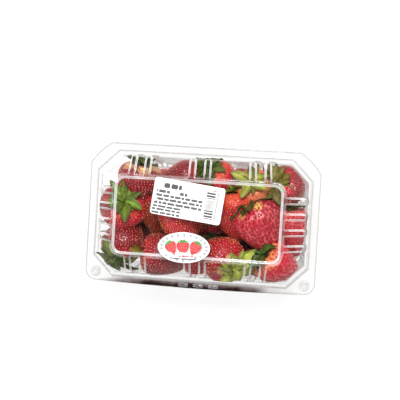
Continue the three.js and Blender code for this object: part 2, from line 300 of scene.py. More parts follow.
def plastic_material():
    """Clear formed sheet: see-through, greyer where it is seen edge-on or bent, with a sharp reflection.

    At tight bends the whitish line is painted reflection and the grey is painted shade, for what the bent
    sheet reflects and refracts; the grey at the flange's cut edge is painted shade too, and the dark band
    on the tray's front lip is painted shadow and painted reflection of the fruit.
    """
    nodes = Nodes("clear_sheet")
    normal = nodes.bump(nodes.noise(38, 2), 0.2, 0.002)
    bend = nodes.marked("bend")
    facing = nodes.add("ShaderNodeLayerWeight", values={"Blend": 0.5})
    nodes.link(normal, facing.inputs["Normal"])

    tone = nodes.ramp(facing.outputs["Facing"], [(0.0, CLEAR), (0.7, CLEAR), (0.98, CLEAR_EDGE)])
    # Painted shade: greyer at bends and at the flange's cut edge, for the sheet's refraction there
    tone = nodes.mixed(bend, tone, BEND_PAINTED_SHADE, "MULTIPLY")
    tone = nodes.mixed(nodes.marked("cut_edge"), tone, CUT_EDGE_PAINTED_SHADE, "MULTIPLY")
    # Painted shadow and painted reflection: the tray's front lip darkened in patches, for the fruit's
    # shadow and reflection
    patches = nodes.ranged(nodes.noise(70, 4), 0.35, 1.75)
    lip = nodes.math("MULTIPLY", nodes.marked("painted_lip_shade"), patches)
    tone = nodes.mixed(lip, tone, LIP_PAINTED_SHADE, "MULTIPLY")
    through = nodes.add("ShaderNodeBsdfTransparent")
    nodes.link(tone, through.inputs["Color"])

    shine = nodes.add("ShaderNodeBsdfGlossy", values={"Roughness": 0.07, "Color": (1, 1, 1, 1)})
    nodes.link(normal, shine.inputs["Normal"])
    steep = nodes.math("POWER", facing.outputs["Facing"], 10.0)
    gloss = nodes.math("MULTIPLY_ADD", bend, 0.08, nodes.ranged(steep, 0.003, 1.0))
    sheet = nodes.blended(gloss, through.outputs["BSDF"], shine.outputs["BSDF"])

    # Painted reflection: a whitish diffuse layer along the bends; the faint random haze elsewhere is the
    # sheet's own
    scatter = nodes.add("ShaderNodeBsdfDiffuse", values={"Color": (0.93, 0.93, 0.93, 1)})
    haze = nodes.ranged(nodes.noise(120, 5), -0.006, 0.006)
    amount = nodes.math("MULTIPLY_ADD", bend, nodes.ranged(nodes.noise(90, 4), 0.4, 1.0), haze)
    hazed = nodes.blended(amount, sheet, scatter.outputs["BSDF"])
    nodes.link(hazed, nodes.output.inputs["Surface"])
    return nodes.material


# The bends, in radians per millimetre, where the painted whitish line starts and where it is full
SOFT_BEND, TIGHT_BEND = 0.15, 0.9
# Shares of that line down the corners, outside and inside the raised rim, and how far down the rim reaches
CORNER_SHARE, RIM_OUTSIDE_SHARE, RIM_INSIDE_SHARE = 0.1, 0.25, 0.55
RIM_DEPTH = 3.2


def bends(piece, ring_size=0):
    """How tightly the sheet bends at each vertex, from 0 to 1.

    Points of one ring come ring_size before those of the next, which tells the creases down the corners.
    """
    shape = bmesh.new()
    shape.from_mesh(piece.data)
    shape.faces.ensure_lookup_table()
    centres = [face.calc_center_median() for face in shape.faces]
    bend = np.zeros(len(shape.verts))
    for edge in shape.edges:
        if len(edge.link_faces) == 2:
            a, b = (centres[face.index] for face in edge.link_faces)
            turn = edge.calc_face_angle(0.0) * MM / max((a - b).length, 0.05 * MM)
            first, second = edge.verts
            if abs(first.index - second.index) == ring_size:
                if abs(first.co.x) > FLUTES_X * MM and abs(first.co.y) > FLUTES_Y * MM:
                    turn *= CORNER_SHARE
            for vertex in edge.verts:
                bend[vertex.index] = max(bend[vertex.index], turn)
    shape.free()
    bend = np.clip((bend - SOFT_BEND) / (TIGHT_BEND - SOFT_BEND), 0, 1)
    for vertex in piece.data.vertices:
        x, y, z = vertex.co / MM
        if z > RIM_TOP - RIM_DEPTH:
            outside = min(OPENING_X - abs(x), OPENING_Y - abs(y)) < RIM_INSET + 1
            bend[vertex.index] *= RIM_OUTSIDE_SHARE if outside else RIM_INSIDE_SHARE
    return bend


def mark(piece, name, values):
    """Numbers for the vertices, for the material to read."""
    layer = piece.data.attributes.new(name, "FLOAT", "POINT")
    layer.data.foreach_set("value", np.asarray(values, np.float32))


def paper_material():
    nodes = Nodes("sticker_paper")
    paper = nodes.principled(Roughness=0.5)
    tone = nodes.ramp(nodes.noise(300, 4), [(0.3, (0.7, 0.7, 0.69)), (0.7, (0.76, 0.76, 0.75))])
    nodes.link(tone, paper["Base Color"])
    nodes.link(nodes.bump(nodes.noise(900), 0.1, 0.0002), paper["Normal"])
    return nodes.material


def ink_material(name, colour, worn):
    """Printed ink, a little uneven where the print is thin."""
    nodes = Nodes(name)
    ink = nodes.principled(Roughness=0.5)
    tone = nodes.ramp(nodes.noise(1500, 3), [(0.35, colour), (0.75, worn)])
    nodes.link(tone, ink["Base Color"])
    return nodes.material


def core_shade_material():
    nodes = Nodes("shaded_heap_core")
    core = nodes.principled(Roughness=0.6)
    # Near-black red: painted shade for the berries deep in the heap
    tone = nodes.ramp(nodes.noise(120), [(0.3, (0.05, 0.004, 0.005)), (0.7, (0.13, 0.012, 0.01))])
    nodes.link(tone, core["Base Color"])
    return nodes.material


def floor_material():
    nodes = Nodes("studio_floor")
    floor = nodes.principled(Roughness=0.9, Specular_IOR_Level=0.0, Emission_Strength=0.83)
    floor["Emission Color"].default_value = (1, 1, 1, 1)
    tone = nodes.ramp(nodes.noise(4), [(0.3, (0.15, 0.15, 0.15)), (0.7, (0.17, 0.17, 0.17))])
    nodes.link(tone, floor["Base Color"])
    return nodes.material


# The formed sheets: rings of stations, each with how far it stands on a flute
HALF_FLUTE = [
    (3.1, 0.0), (2.8, 0.0), (2.6, 0.08), (2.4, 0.3), (2.15, 0.7), (1.95, 0.92), (1.75, 1.0), (1.45, 1.0),
]
FLUTE_SHAPE = [(-offset, lift) for offset, lift in HALF_FLUTE] + HALF_FLUTE[::-1]
CORNER_STEPS = [0.02, 0.1, 0.2, 0.3, 0.4, 0.5, 0.6, 0.7, 0.8, 0.9, 0.98]
# How close a flat's last station stands to a bend, which keeps the shading of the flat even
SUPPORT = 0.4


def side_stations(start, end, flutes):
    """Places along one side, each with its lift: both ends, and every flute on the way."""
    step = 1 if end > start else -1
    rows = [(start, 0.0), (start + SUPPORT * step, 0.0)]
    for centre in sorted(flutes, key=lambda c: c * step):
        rows += [(centre + offset * step, lift) for offset, lift in FLUTE_SHAPE]
    return rows + [(end - SUPPORT * step, 0.0), (end, 0.0)]


def corner_points(cx, cy, cut, bulge, start_angle):
    """Points between a corner's ends, from a straight cut (bulge 0) to a quarter circle (bulge 1)."""
    points = []
    for t in CORNER_STEPS:
        angle = start_angle + t * pi / 2
        a, b = (cos(start_angle), sin(start_angle)), (-sin(start_angle), cos(start_angle))
        x = mix(mix(a[0], b[0], t), cos(angle), bulge)
        y = mix(mix(a[1], b[1], t), sin(angle), bulge)
        points.append((cx + cut * x, cy + cut * y))
    return points


def ring(hx, front, back, front_cut, back_cut, front_bulge, back_bulge, z, bow=0.0, rib=0.0, lean=0.0):
    """One closed ring of stations, anticlockwise from the front left."""
    points = []
    long_flutes = [x + lean for x in LONG_FLUTES]
    front_end, back_end = hx - front_cut, hx - back_cut
    for x, lift in side_stations(-front_end, front_end, long_flutes):
        points.append((x, -(front + rib * lift + bow * (1 - (x / front_end) ** 2))))
    points += corner_points(front_end, -(front - front_cut), front_cut, front_bulge, -pi / 2)
    for y, lift in side_stations(-(front - front_cut), back - back_cut, SHORT_FLUTES):
        points.append((hx + rib * lift, y))
    points += corner_points(back_end, back - back_cut, back_cut, back_bulge, 0)
    for x, lift in side_stations(back_end, -back_end, long_flutes):
        points.append((x, back + rib * lift))
    points += corner_points(-back_end, back - back_cut, back_cut, back_bulge, pi / 2)
    for y, lift in side_stations(back - back_cut, -(front - front_cut), SHORT_FLUTES):
        points.append((-(hx + rib * lift), y))
    points += corner_points(-front_end, -(front - front_cut), front_cut, front_bulge, pi)
    return np.array([(x, y, z) for x, y in points])


def corner_cut(inset, roundness):
    """How far the corner is cut back: a straight cut below, a round corner at the panel."""
    return mix(OPENING_CUT - (2 - 2**0.5) * inset, RIM_RADIUS + RIM_INSET - inset, roundness)


def inset_ring(inset, z, rib, roundness, lean):
    cut = corner_cut(inset, roundness)
    half = OPENING_Y - inset
    return ring(OPENING_X - inset, half, half, cut, cut, roundness, roundness, z, rib=rib, lean=lean)


FLANGE_BOW, FRONT_CORNER, BACK_CUT = 1.5, 9.0, 17.0


def flange_ring(z, trim):
    """The flange's outline, less a trim where its edge is rounded: bowed in front, cut at the back."""
    return ring(
        LENGTH / 2 - trim, WIDTH / 2 - FLANGE_BOW - trim, WIDTH / 2 - trim, FRONT_CORNER - trim,
        BACK_CUT - 0.6 * trim, 1, 0.3, z, bow=FLANGE_BOW,
    )


# Inset from the opening's edge, height, flute depth, corner roundness and lean of the long sides' flutes
LID_PROFILE = [
    (-1.2, LID_TOP, 0, 0, FLUTE_LEAN), (0, LID_TOP, 0, 0, FLUTE_LEAN),
    (0.8, LID_TOP + 3.6, 0, 0, FLUTE_LEAN), (4.4, LID_TOP + 4.8, 0, 0, FLUTE_LEAN),
    (5.6, LID_TOP + 8, 1.6, 0.15, FLUTE_LEAN), (17.2, RIM_TOP - 1.9, 1.4, 0.9, 0),
    (RIM_INSET, RIM_TOP, 0.4, 1, 0), (21.4, RIM_TOP, 0, 1, 0), (22.4, PANEL_TOP, 0, 1, 0),
    (23.6, PANEL_TOP, 0, 1, 0),
]
TRAY_PROFILE = [
    (-0.7, TRAY_HEIGHT, 0, 0, 0), (0.6, TRAY_HEIGHT, 0, 0, 0), (3.6, TRAY_HEIGHT - 4, 0, 0, 0),
    (4.6, TRAY_HEIGHT - 8, 1.5, 0, 0), (10, 6, 1.3, 0, 0), (12, SHEET, 0, 0, 0), (17, SHEET, 0, 0, 0),
    (18.4, FLOOR, 0, 0, 0), (20, FLOOR, 0, 0, 0),
]
BEND_RADIUS = 1.1


def filleted(profile, radius):
    """The profile with each bend rounded, and a row on the flat just before and after each."""
    rows = [np.array(profile[0], float)]
    for before, here, after in zip(profile, profile[1:], profile[2:]):
        before, here, after = (np.array(row, float) for row in (before, here, after))
        ends, flats = [], []
        for other in (before, after):
            length = np.linalg.norm((other - here)[:2])
            ends.append(here + (other - here) * min(0.45, radius / length))
            flat = here + (other - here) * (radius + SUPPORT) / length
            flats.append([flat] if length > 3.5 * radius else [])
        rows += flats[0]
        for t in (0, 0.25, 0.5, 0.75, 1):
            rows.append((1 - t) ** 2 * ends[0] + 2 * t * (1 - t) * here + t * t * ends[1])
        rows += flats[1]
    return rows + [np.array(profile[-1], float)]


def under_side(rows):
    """The rows moved square to themselves by the sheet's thickness."""
    moved = []
    for i, row in enumerate(rows):
        du, dz = (rows[min(i + 1, len(rows) - 1)] - rows[max(i - 1, 0)])[:2]
        length = np.hypot(du, dz)
        moved.append(row + np.array([dz / length, -du / length, 0, 0, 0]) * SHEET)
    return moved


def formed_sheet(name, profile, top, material):
    """A closed sheet: under the middle, out to the flange's edge, and back over the top."""
    rows = filleted(profile, BEND_RADIUS)
    rings = [inset_ring(*row) for row in reversed(under_side(rows))]
    rings += [flange_ring(top - SHEET, trim) for trim in (1.3, 0.5, 0.0)]
    rings += [flange_ring(top, trim) for trim in (0.0, 0.5, 1.3)]
    rings += [inset_ring(*row) for row in rows]
    count = len(rings[0])
    points = np.concatenate(rings + [rings[0].mean(0, keepdims=True), rings[-1].mean(0, keepdims=True)])
    faces = tube_faces(len(rings), count)
    faces += cap_faces(count, len(points) - 2, 0, len(points) - 1, (len(rings) - 1) * count)
    sheet = make_object(name, points, faces, material)
    mark_lines(sheet, points, top, count, len(rows))
    return sheet


# Near the flange, and on the small parts, the bends show as painted grey lines more than as painted white
# ones; the flange's cut edge is a fainter painted grey line. All stand in for reflection and refraction
STEP_HEIGHT, STEP_SHARE, EDGE_SHARE, SMALL_SHARE = 6.0, 0.35, 0.5, 0.3


def mark_lines(sheet, points, top, count, rows):
    """Painted white and grey lines for reflection and refraction; the flange's edge is four rings of
    points.
    """
    bend = bends(sheet, count)
    step = np.abs(points[:, 2] - top) < STEP_HEIGHT
    cut_edge = np.where(step, bend, 0)
    cut_edge[(rows + 1) * count:(rows + 5) * count] = EDGE_SHARE
    mark(sheet, "bend", np.where(step, STEP_SHARE * bend, bend))
    mark(sheet, "cut_edge", cut_edge)


# Where the tray's front lip gets its painted shadow and reflection: its middle, half length and fade along
# X
LIP_MIDDLE, LIP_HALF, LIP_FADE = -6.0, 68.0, 26.0


def mark_painted_lip_shade(tray):
    """Where the middle of the tray's front flange gets painted shadow and painted reflection of the fruit.
    """
    xy = np.array([vertex.co[:2] for vertex in tray.data.vertices]) / MM
    along = np.clip((LIP_HALF - np.abs(xy[:, 0] - LIP_MIDDLE)) / LIP_FADE, 0, 1)
    mark(tray, "painted_lip_shade", along * np.clip((-OPENING_Y - xy[:, 1]) / 1.2, 0, 1))


def lathe(profile, around, centre):
    """A turned surface from (radius, height) rows, open where it doesn't reach the axis."""
    points = []
    for radius, height in profile:
        for angle in angles(around):
            x, y = centre[0] + radius * cos(angle), centre[1] + radius * sin(angle)
            points.append((x, y, centre[2] + height))
    return points, tube_faces(len(profile), around)


STUD_X, STUD_Y, STUD_FOOT, STUD_HEIGHT = 86.2, -49.0, 4.6, 2.6
# The tray's studs fit inside the lid's
STUD_ROOM, STUD_DROP = 0.8, 0.4


def stud_parts(foot, height, base):
    """A pair of round press studs with a rounded shoulder and a dimple in the crown."""
    profile = [
        (foot + 0.3, 0), (foot, 0.15), (foot - 0.25, 0.6), (foot - 0.4, height - 0.8),
        (foot - 0.7, height - 0.25), (foot - 1.2, height), (foot - 1.9, height - 0.05),
        (foot - 2.3, height - 0.5), (0.01, height - 0.6),
    ]
    return [(*lathe(profile, 32, (side * STUD_X, STUD_Y, base)), (1, 1, 1)) for side in (-1, 1)]


VENT_PITCH, VENT_Y = 12.5, -55.1
# Half length, half width and height of each ring of an arch
VENT_RINGS = [(4.2, 1.8, 0), (3.9, 1.5, 0.2), (3.6, 1.25, 1.1), (3.2, 0.95, 1.5), (0.1, 0.05, 1.5)]


def vent_parts():
    """Three raised arches in the middle of the lid's front flange."""
    parts = []
    around = 24
    for i in (-1, 0, 1):
        points = []
        for half_x, half_y, z in VENT_RINGS:
            for angle in angles(around):
                c, s = cos(angle), sin(angle)
                reach = (abs(c) ** 5 + abs(s) ** 5) ** -0.2
                x, y = i * VENT_PITCH + half_x * c * reach, VENT_Y + half_y * s * reach
                points.append((x, y, LID_TOP + z))
        parts.append((points, tube_faces(len(VENT_RINGS), around), (1, 1, 1)))
    return parts


# The room inside the shut punnet: heights, and the walls' inset and corner roundness there
ROOM_Z = [
    FLOOR, 6, TRAY_HEIGHT - 8, TRAY_HEIGHT - 4, LID_TOP + 3.1, LID_TOP + 7.4, RIM_TOP - 2.6, RIM_TOP - 0.8,
]
ROOM_INSET = [11.2, 10, 4.6, 3.6, 1.2, 5.9, 17.6, 19.6]
ROOM_ROUND = [0, 0, 0, 0, 0, 0.15, 0.9, 1]
CLEARANCE = 0.9


def kept_inside(points):
    """Points pressed back inside the punnet's walls, floor and lid, as soft fruit and leaves are."""
    points = np.array(points, float)
    points[:, 2] = np.clip(points[:, 2], FLOOR + 0.3, PANEL_TOP - SHEET - 0.3)
    inset = np.interp(points[:, 2], ROOM_Z, ROOM_INSET) + CLEARANCE
    roundness = np.interp(points[:, 2], ROOM_Z, ROOM_ROUND)
    cut = corner_cut(inset, roundness)
    room_x, room_y = OPENING_X - inset, OPENING_Y - inset
    points[:, 0] = np.clip(points[:, 0], -room_x, room_x)
    points[:, 1] = np.clip(points[:, 1], -room_y, room_y)
    diagonal = room_x + room_y - cut * mix(1.0, 0.62, roundness)
    over = np.maximum(np.abs(points[:, 0]) + np.abs(points[:, 1]) - diagonal, 0) / 2
    points[:, 0] -= np.sign(points[:, 0]) * over
    points[:, 1] -= np.sign(points[:, 1]) * over
    return points


# Strawberry colours
DEEP, RED, BRIGHT = srgb(130, 6, 32), srgb(188, 10, 44), srgb(212, 20, 48)
ORANGE, PEACH, RUSSET = srgb(222, 78, 44), srgb(236, 140, 88), srgb(166, 48, 36)
PINK, CREAM, YELLOW = srgb(238, 122, 122), srgb(236, 206, 146), srgb(236, 186, 104)
SEED_YELLOW, SEED_GOLD = srgb(238, 172, 104), srgb(222, 146, 84)
SEED_PINK, SEED_RED = srgb(236, 142, 112), srgb(150, 44, 30)
GREEN, DARK_GREEN, LIGHT_GREEN = srgb(84, 108, 24), srgb(52, 74, 18), srgb(184, 194, 88)
OLIVE, PALE_OLIVE = srgb(108, 98, 30), srgb(134, 134, 52)
LEAF_GREEN, DRY = srgb(80, 96, 22), srgb(116, 92, 36)

# Each berry: centre, length, width, where its tip points (turn from +X, rise) in degrees; the skin, the
# shoulder and how far its colour reaches; the seeds, their spacing and how pale the skin between them is,
# partly a painted highlight; the number of leaves, their length, their colour and how far they stand back
# from the shoulder in degrees
TOP_BERRIES = [
    ((-56, 21, 49), 44, 40, -100, -14, DEEP, CREAM, 0.09, SEED_PINK, 2.6, 0.15, 11, 16, DARK_GREEN, 5),
    ((-67, 3, 51), 38, 40, -118, -64, RED, ORANGE, 0.08, SEED_PINK, 2.6, 0.15, 10, 21, GREEN, 8),
    ((-64, -20, 47), 42, 36, 75, -38, DEEP, RED, 0.10, SEED_PINK, 2.6, 0.1, 10, 23, LEAF_GREEN, 0),
    ((-39, 0, 44), 42, 31, -86, -18, RUSSET, RED, 0.10, SEED_GOLD, 2.8, 0.0, 6, 15, DARK_GREEN, 10),
    ((-16, -6, 54), 46, 39, -84, -12, RED, PINK, 0.10, SEED_YELLOW, 2.8, 0.45, 8, 15, GREEN, 10),
    ((-27, -33, 49), 46, 37, -6, -22, DEEP, RED, 0.10, SEED_PINK, 2.6, 0.1, 10, 20, OLIVE, 35),
    ((14, -30, 50), 40, 37, 150, -34, RED, CREAM, 0.05, SEED_YELLOW, 2.7, 0.1, 11, 24, LIGHT_GREEN, 5),
    ((27, 3, 54), 43, 36, -82, -14, BRIGHT, ORANGE, 0.24, SEED_GOLD, 2.7, 0.15, 9, 15, GREEN, 10),
    ((52, -8, 51), 58, 42, -57, -22, RED, YELLOW, 0.06, SEED_RED, 3.0, 1.0, 11, 24, DARK_GREEN, -14),
    ((42, 23, 47), 40, 33, -80, -58, BRIGHT, PEACH, 0.24, SEED_GOLD, 2.8, 0.3, 10, 19, PALE_OLIVE, -5),
    ((68, 27, 46), 38, 35, -32, -58, DEEP, RED, 0.10, SEED_PINK, 2.8, 0.3, 13, 21, OLIVE, -8),
    ((75, -6, 42), 38, 32, -85, -10, RED, PINK, 0.12, SEED_PINK, 3.1, 0.8, 7, 14, GREEN, 5),
    ((65, -33, 48), 41, 37, -28, -38, BRIGHT, PEACH, 0.16, SEED_RED, 3.5, 0.6, 11, 17, DARK_GREEN, 0),
    ((-23, 28, 48), 40, 33, -165, -12, DEEP, RED, 0.10, SEED_PINK, 2.7, 0.2, 9, 20, GREEN, 15),
    ((13, 29, 46), 40, 31, -60, -44, RED, ORANGE, 0.15, SEED_GOLD, 2.8, 0.2, 10, 18, DARK_GREEN, -5),
    ((44, -33, 38), 36, 27, -170, -38, DEEP, RED, 0.10, SEED_GOLD, 2.9, 0.1, 7, 16, DARK_GREEN, 15),
    ((-6, -37, 42), 33, 28, -75, -10, BRIGHT, RED, 0.10, SEED_GOLD, 2.9, 0.3, 6, 12, GREEN, 15),
    ((4, 6, 40), 40, 32, 96, -14, DEEP, RED, 0.10, SEED_GOLD, 2.9, 0.2, 7, 15, DARK_GREEN, 10),
]
LOW_BERRIES = [
    ((-65, 22, 17.5), 38, 30, 200, 8), ((-64, -20, 17.5), 38, 31, 150, -10),
    ((-34, 26, 18), 36, 31, 20, 12), ((-34, -22, 17.5), 38, 32, -60, 0),
    ((-2, 22, 17.5), 38, 32, 170, 6), ((-2, -20, 18.5), 38, 33, 10, -6),
    ((30, 24, 17.5), 38, 32, -30, 10), ((29, -19, 17.5), 38, 32, 100, 0),
    ((62, 22, 18.5), 38, 32, 30, -8), ((63, -19, 18.5), 39, 33, -20, 5),
]
# The low berries take these looks in turn
LOW_LOOKS = [
    (RED, PINK, 0.12, SEED_GOLD, 3.4, 0.3, 7, 15, GREEN, 15),
    (DEEP, RED, 0.10, SEED_PINK, 3.2, 0.1, 6, 14, DARK_GREEN, 0),
    (BRIGHT, CREAM, 0.20, SEED_YELLOW, 3.4, 0.4, 7, 15, GREEN, 20),
]
# Rows of the skin's mesh from shoulder to tip, and points round it
TOP_MESH, LOW_MESH = (84, 140), (44, 72)
# How deep a seed sits, as a share of the seeds' spacing
PIT_DEPTH = 0.27


class Berry:
    """One strawberry: its shape in its own frame (tip along +X) and its way to the punnet's frame."""

    def __init__(self, seed, centre, length, width, turn, rise, *look):
        self.random = np.random.default_rng(seed)
        self.length, self.width = length, width
        self.skin, self.shoulder, self.reach, self.seed_colour, self.spacing, self.net = look[:6]
        self.leaves, self.leaf_length, self.leaf_colour, self.stand = look[6:]
        roll = self.random.uniform(0, 2 * pi)
        to_world = Matrix.Rotation(radians(turn), 3, "Z") @ Matrix.Rotation(-radians(rise), 3, "Y")
        self.rotation = np.array(to_world @ Matrix.Rotation(roll, 3, "X"))
        self.centre = np.array(centre, float)
        self.lobes = [(k, self.random.uniform(0.4, 1) * a, self.random.uniform(0, 2 * pi))
                      for k, a in ((2, 0.05), (3, 0.035), (5, 0.018))]
        self.bend = self.random.uniform(-0.06, 0.06) * width
        self.blunt = self.random.uniform(0.56, 0.66)

    def radius(self, t):
        """Half the width at t, from 0 at the shoulder to 1 at the tip, before the lobes."""
        t = np.clip(t, 1e-5, 1 - 1e-5)
        return self.width / 2 * np.sin(pi * t**self.blunt) ** 0.62 * (1.06 - 0.22 * t)

    def surface(self, t, angle):
        """Points of the smooth skin, with a dent where the stem comes out."""
        swell = 1 + sum(a * np.sin(k * angle + phase + 2 * t) for k, a, phase in self.lobes)
        radius = self.radius(t) * (1 + (swell - 1) * np.sin(pi * np.clip(t, 0, 1)) ** 0.5)
        dent = 1.8 * np.exp(-((radius / 5.5) ** 2)) * (t < 0.3)
        x = t * self.length - self.length / 2 + dent
        y = radius * np.cos(angle) + self.bend * np.sin(pi * t)
        return np.stack([x, y, radius * np.sin(angle)], -1)

    def outward(self, points):
        """The way out of the skin, as on an egg of the berry's length and width."""
        normals = points / np.array([self.length / 2, self.width / 2, self.width / 2]) ** 2
        return normals / np.linalg.norm(normals, axis=-1, keepdims=True)

    def even_stops(self, count):
        """Values of t evenly spaced along the skin from shoulder to tip, and the skin's length."""
        t = np.linspace(0, 1, 600)
        steps = np.hypot(np.diff(t * self.length), np.diff(self.radius(t)))
        along = np.concatenate([[0], np.cumsum(steps)])
        return np.interp(np.linspace(0, along[-1], count), along, t), along[-1]

    def seed_places(self):
        """Where the seeds sit: rows round the berry, every other one moved half a step, none quite even."""
        rows = int(self.even_stops(2)[1] / (0.88 * self.spacing))
        t_list, angle_list = [], []
        for k, t in enumerate(self.even_stops(rows + 1)[0][1:-1]):
            count = int(round(2 * pi * self.radius(t) / self.spacing))
            if count >= 3:
                places = np.arange(count) + 0.5 * (k % 2) + self.random.uniform(-0.26, 0.26, count)
                angle_list.append(2 * pi * places / count)
                t_list.append(np.full(count, t) + self.random.uniform(-0.013, 0.013, count))
        return np.concatenate(t_list), np.concatenate(angle_list)

    def world(self, points):
        return kept_inside(points @ self.rotation.T + self.centre)

    def flesh(self, along, around):
        """The skin's mesh, dimpled at each seed, with its painted colour; and where the seeds sit."""
        stops = self.even_stops(along + 1)[0]
        t, angle = np.meshgrid(stops[1:-1], np.arange(around) * 2 * pi / around, indexing="ij")
        t = np.concatenate([[0.0], t.ravel(), [1.0]])
        angle = np.concatenate([[0.0], angle.ravel(), [0.0]])
        smooth = self.surface(t, angle)
        seeds = self.surface(*self.seed_places())
        squares = (smooth**2).sum(1)[:, None] + (seeds**2).sum(1)[None, :] - 2 * smooth @ seeds.T
        away = np.sqrt(np.maximum(squares.min(1), 0)) / self.spacing
        pit = np.exp(-((away / 0.33) ** 2))
        points = smooth - self.outward(smooth) * (pit * PIT_DEPTH * self.spacing)[:, None]
        faces = cap_faces(around, 0, 1, len(points) - 1, 1 + (along - 2) * around)
        faces += tube_faces(along - 1, around, 1)
        return points, faces, self.paint(t, angle, away), seeds

    def paint(self, t, angle, away):
        """Skin: painted shade in the pits, a paler net partly painted highlight, a pale shoulder, and
        uneven.
        """
        side = 0.5 + 0.5 * np.sin(angle + self.lobes[0][2])
        skin = mix(np.array(self.skin), np.array(self.skin) * 0.6, side[:, None])
        patch = 0.5 + 0.5 * np.sin(3 * angle + 9 * t + self.lobes[1][2])
        net = self.net * np.clip((away - 0.3) / 0.3, 0, 1) * mix(0.45, 1.0, patch)
        pit = np.exp(-((away / 0.3) ** 2))
        # Painted highlight in part: the raised net between the pits paled towards pink; then painted shade
        # in the pits
        skin = mix(skin, np.array(PINK), 0.7 * net[:, None])
        skin = mix(skin, skin * 0.3, (0.85 * pit)[:, None])
        wave = 0.03 * np.sin(5 * angle + self.lobes[1][2])
        pale = np.clip(1 - (t + wave) / max(self.reach, 1e-3), 0, 1) ** 0.7
        # The shoulder's colour is darkened by painted shade in the pits too
        return mix(skin, np.array(self.shoulder) * mix(1.0, 0.6, pit[:, None]), pale[:, None])

    def seed_mesh(self, seeds):
        """A small pointed grain in each dimple."""
        parts = []
        for place, normal in zip(seeds, self.outward(seeds)):
            along = np.array([1.0, 0, 0]) - normal * normal[0]
            along /= np.linalg.norm(along)
            across = np.cross(normal, along)
            size = self.random.uniform(0.75, 1.3) * (0.8 + 0.09 * self.spacing)
            middle = place - normal * 0.07 * self.spacing
            corners = [
                middle + along * 0.78 * size, middle + across * 0.5 * size, middle - along * 0.66 * size,
                middle - across * 0.5 * size, middle + normal * 0.42 * size, middle - normal * 0.3 * size,
            ]
            faces = [[i, (i + 1) % 4, 4] for i in range(4)] + [[(i + 1) % 4, i, 5] for i in range(4)]
            tone = mix(np.array(self.seed_colour), np.array(self.skin), self.random.uniform(0, 0.7))
            parts.append((corners, faces, tone * self.random.uniform(0.8, 1.25)))
        return joined(parts)

    def leaf(self, angle, length, width, start, end, colour):
        """A pointed leaf from the middle of the shoulder, cupped along its vein and wavy at its edges."""
        rows, columns = 12, 7
        along = np.linspace(0, 1, rows)
        bend = np.radians(mix(start, end, along**1.4))
        step = length / (rows - 1)
        out = 1.0 + np.concatenate([[0], np.cumsum(np.cos(bend[:-1]) * step)])
        back = 0.5 + np.concatenate([[0], np.cumsum(np.sin(bend[:-1]) * step)])
        half = width / 2 * np.sin(pi * np.minimum(along, 0.985) ** 0.72) ** 0.8 + 0.3
        half[-1] = 0.1
        cup, sway = self.random.uniform(0.1, 0.75), self.random.uniform(-2.6, 2.6)
        twist, wave = self.random.uniform(-0.7, 0.7), self.random.uniform(0, 2 * pi)
        points, tints = [], []
        for i, a in enumerate(along):
            for s in np.linspace(-1, 1, columns):
                side = s * half[i] + sway * a * a
                lift = half[i] * (cup * s * s + 0.22 * s * sin(9 * a + wave) + twist * a * s)
                radial = out[i] - lift * sin(bend[i])
                axial = -self.length / 2 - back[i] - lift * cos(bend[i])
                y, z = radial * cos(angle) - side * sin(angle), radial * sin(angle) + side * cos(angle)
                points.append((axial, y, z))
                tone = mix(np.array(colour), np.array(DRY), max(0.0, a - 0.8) * 2.0)
                vein = 1.5 if abs(s) < 0.1 else mix(1.05, 0.62, abs(s) ** 2)
                tints.append(tone * vein * mix(1.25, 0.85, a))
        return np.array(points), strip_faces(rows, columns), np.array(tints)

    def calyx(self):
        """The ring of leaves, broad and narrow in turn, some pressed down and some curled up."""
        parts = []
        for k in range(self.leaves):
            angle = 2 * pi * (k + self.random.uniform(-0.28, 0.28)) / self.leaves
            broad = k % 2 == 0
            length = self.leaf_length * self.random.uniform(0.72, 1.05) * (1.0 if broad else 0.8)
            width = length * (self.random.uniform(0.42, 0.52) if broad else self.random.uniform(0.26, 0.34))
            start = self.stand + self.random.uniform(-6, 18)
            end = self.stand + self.random.uniform(-45, 55)
            colour = np.array(self.leaf_colour) * self.random.uniform(0.55, 1.25)
            colour = mix(colour, np.array(DRY), self.random.uniform(0, 0.25))
            parts.append(self.leaf(angle, length, width, start, end, colour))
        return parts

    def stem(self, length):
        """A short cut stem, standing back from the shoulder."""
        rows, around = 7, 8
        points = []
        lean = self.random.uniform(-0.35, 0.35, 2)
        for i in range(rows):
            s = i / (rows - 1)
            radius = mix(1.3, 0.95, s) if i else 1.9
            for angle in angles(around):
                y = radius * cos(angle) + lean[0] * length * s * s
                z = radius * sin(angle) + lean[1] * length * s * s
                points.append((-self.length / 2 + 0.8 - s * length, y, z))
        faces = tube_faces(rows, around)
        faces.append([(rows - 1) * around + k for k in range(around)])
        return np.array(points), faces, np.array(self.leaf_colour) * 1.15


